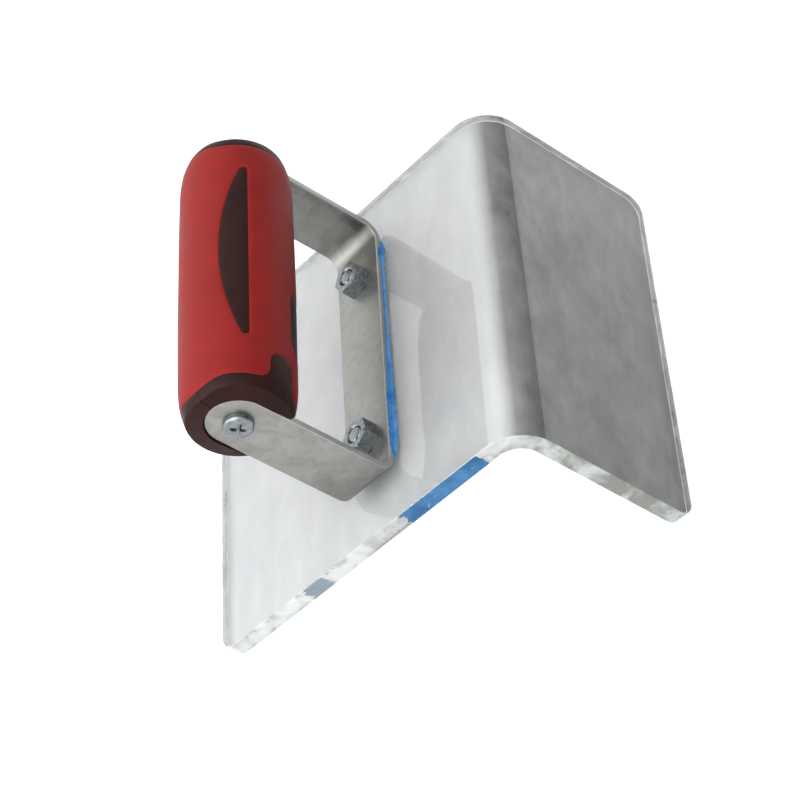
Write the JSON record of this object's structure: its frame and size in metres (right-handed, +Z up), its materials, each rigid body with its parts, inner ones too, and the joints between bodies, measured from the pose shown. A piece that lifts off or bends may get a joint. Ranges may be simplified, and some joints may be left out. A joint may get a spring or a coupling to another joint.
{
  "type": "corner trowel",
  "caption": "Corner trowel: a thick clear plastic blade bent to a right angle, with a soft-grip handle in a bolted steel bracket.",
  "frame": {"origin": "centre of the footprint, on the plane the two outer wing edges stand on", "axes": "+Z up, +Y along the bend, the long wing falls towards -X and the short wing towards +X"},
  "size_m": [0.172, 0.1525, 0.1151],
  "materials": {
    "clear_plastic": "clear sheet, polished faces and sawn edges",
    "silver_film": "silver-white masking film, satin",
    "blue_film": "thin blue film, torn edges",
    "bracket_steel": "zinc-plated strap, satin",
    "plated_steel": "bright zinc plate",
    "dark_plastic": "moulded, fine texture",
    "red_grip": "soft overmould, satin"
  },
  "bodies": {
    "root": {"blade": "clear_plastic", "working_film": "silver_film", "bracket_film": "blue_film", "edge_film_large": "blue_film", "edge_film_small": "blue_film", "handle_bracket": "bracket_steel", "bracket_screw_near": "plated_steel", "bracket_screw_far": "plated_steel", "bracket_nut_near": "plated_steel", "bracket_nut_far": "plated_steel", "handle_core": "dark_plastic", "soft_grip": "red_grip", "handle_screw_near": "plated_steel", "handle_screw_far": "plated_steel"}
  },
  "joints": []
}
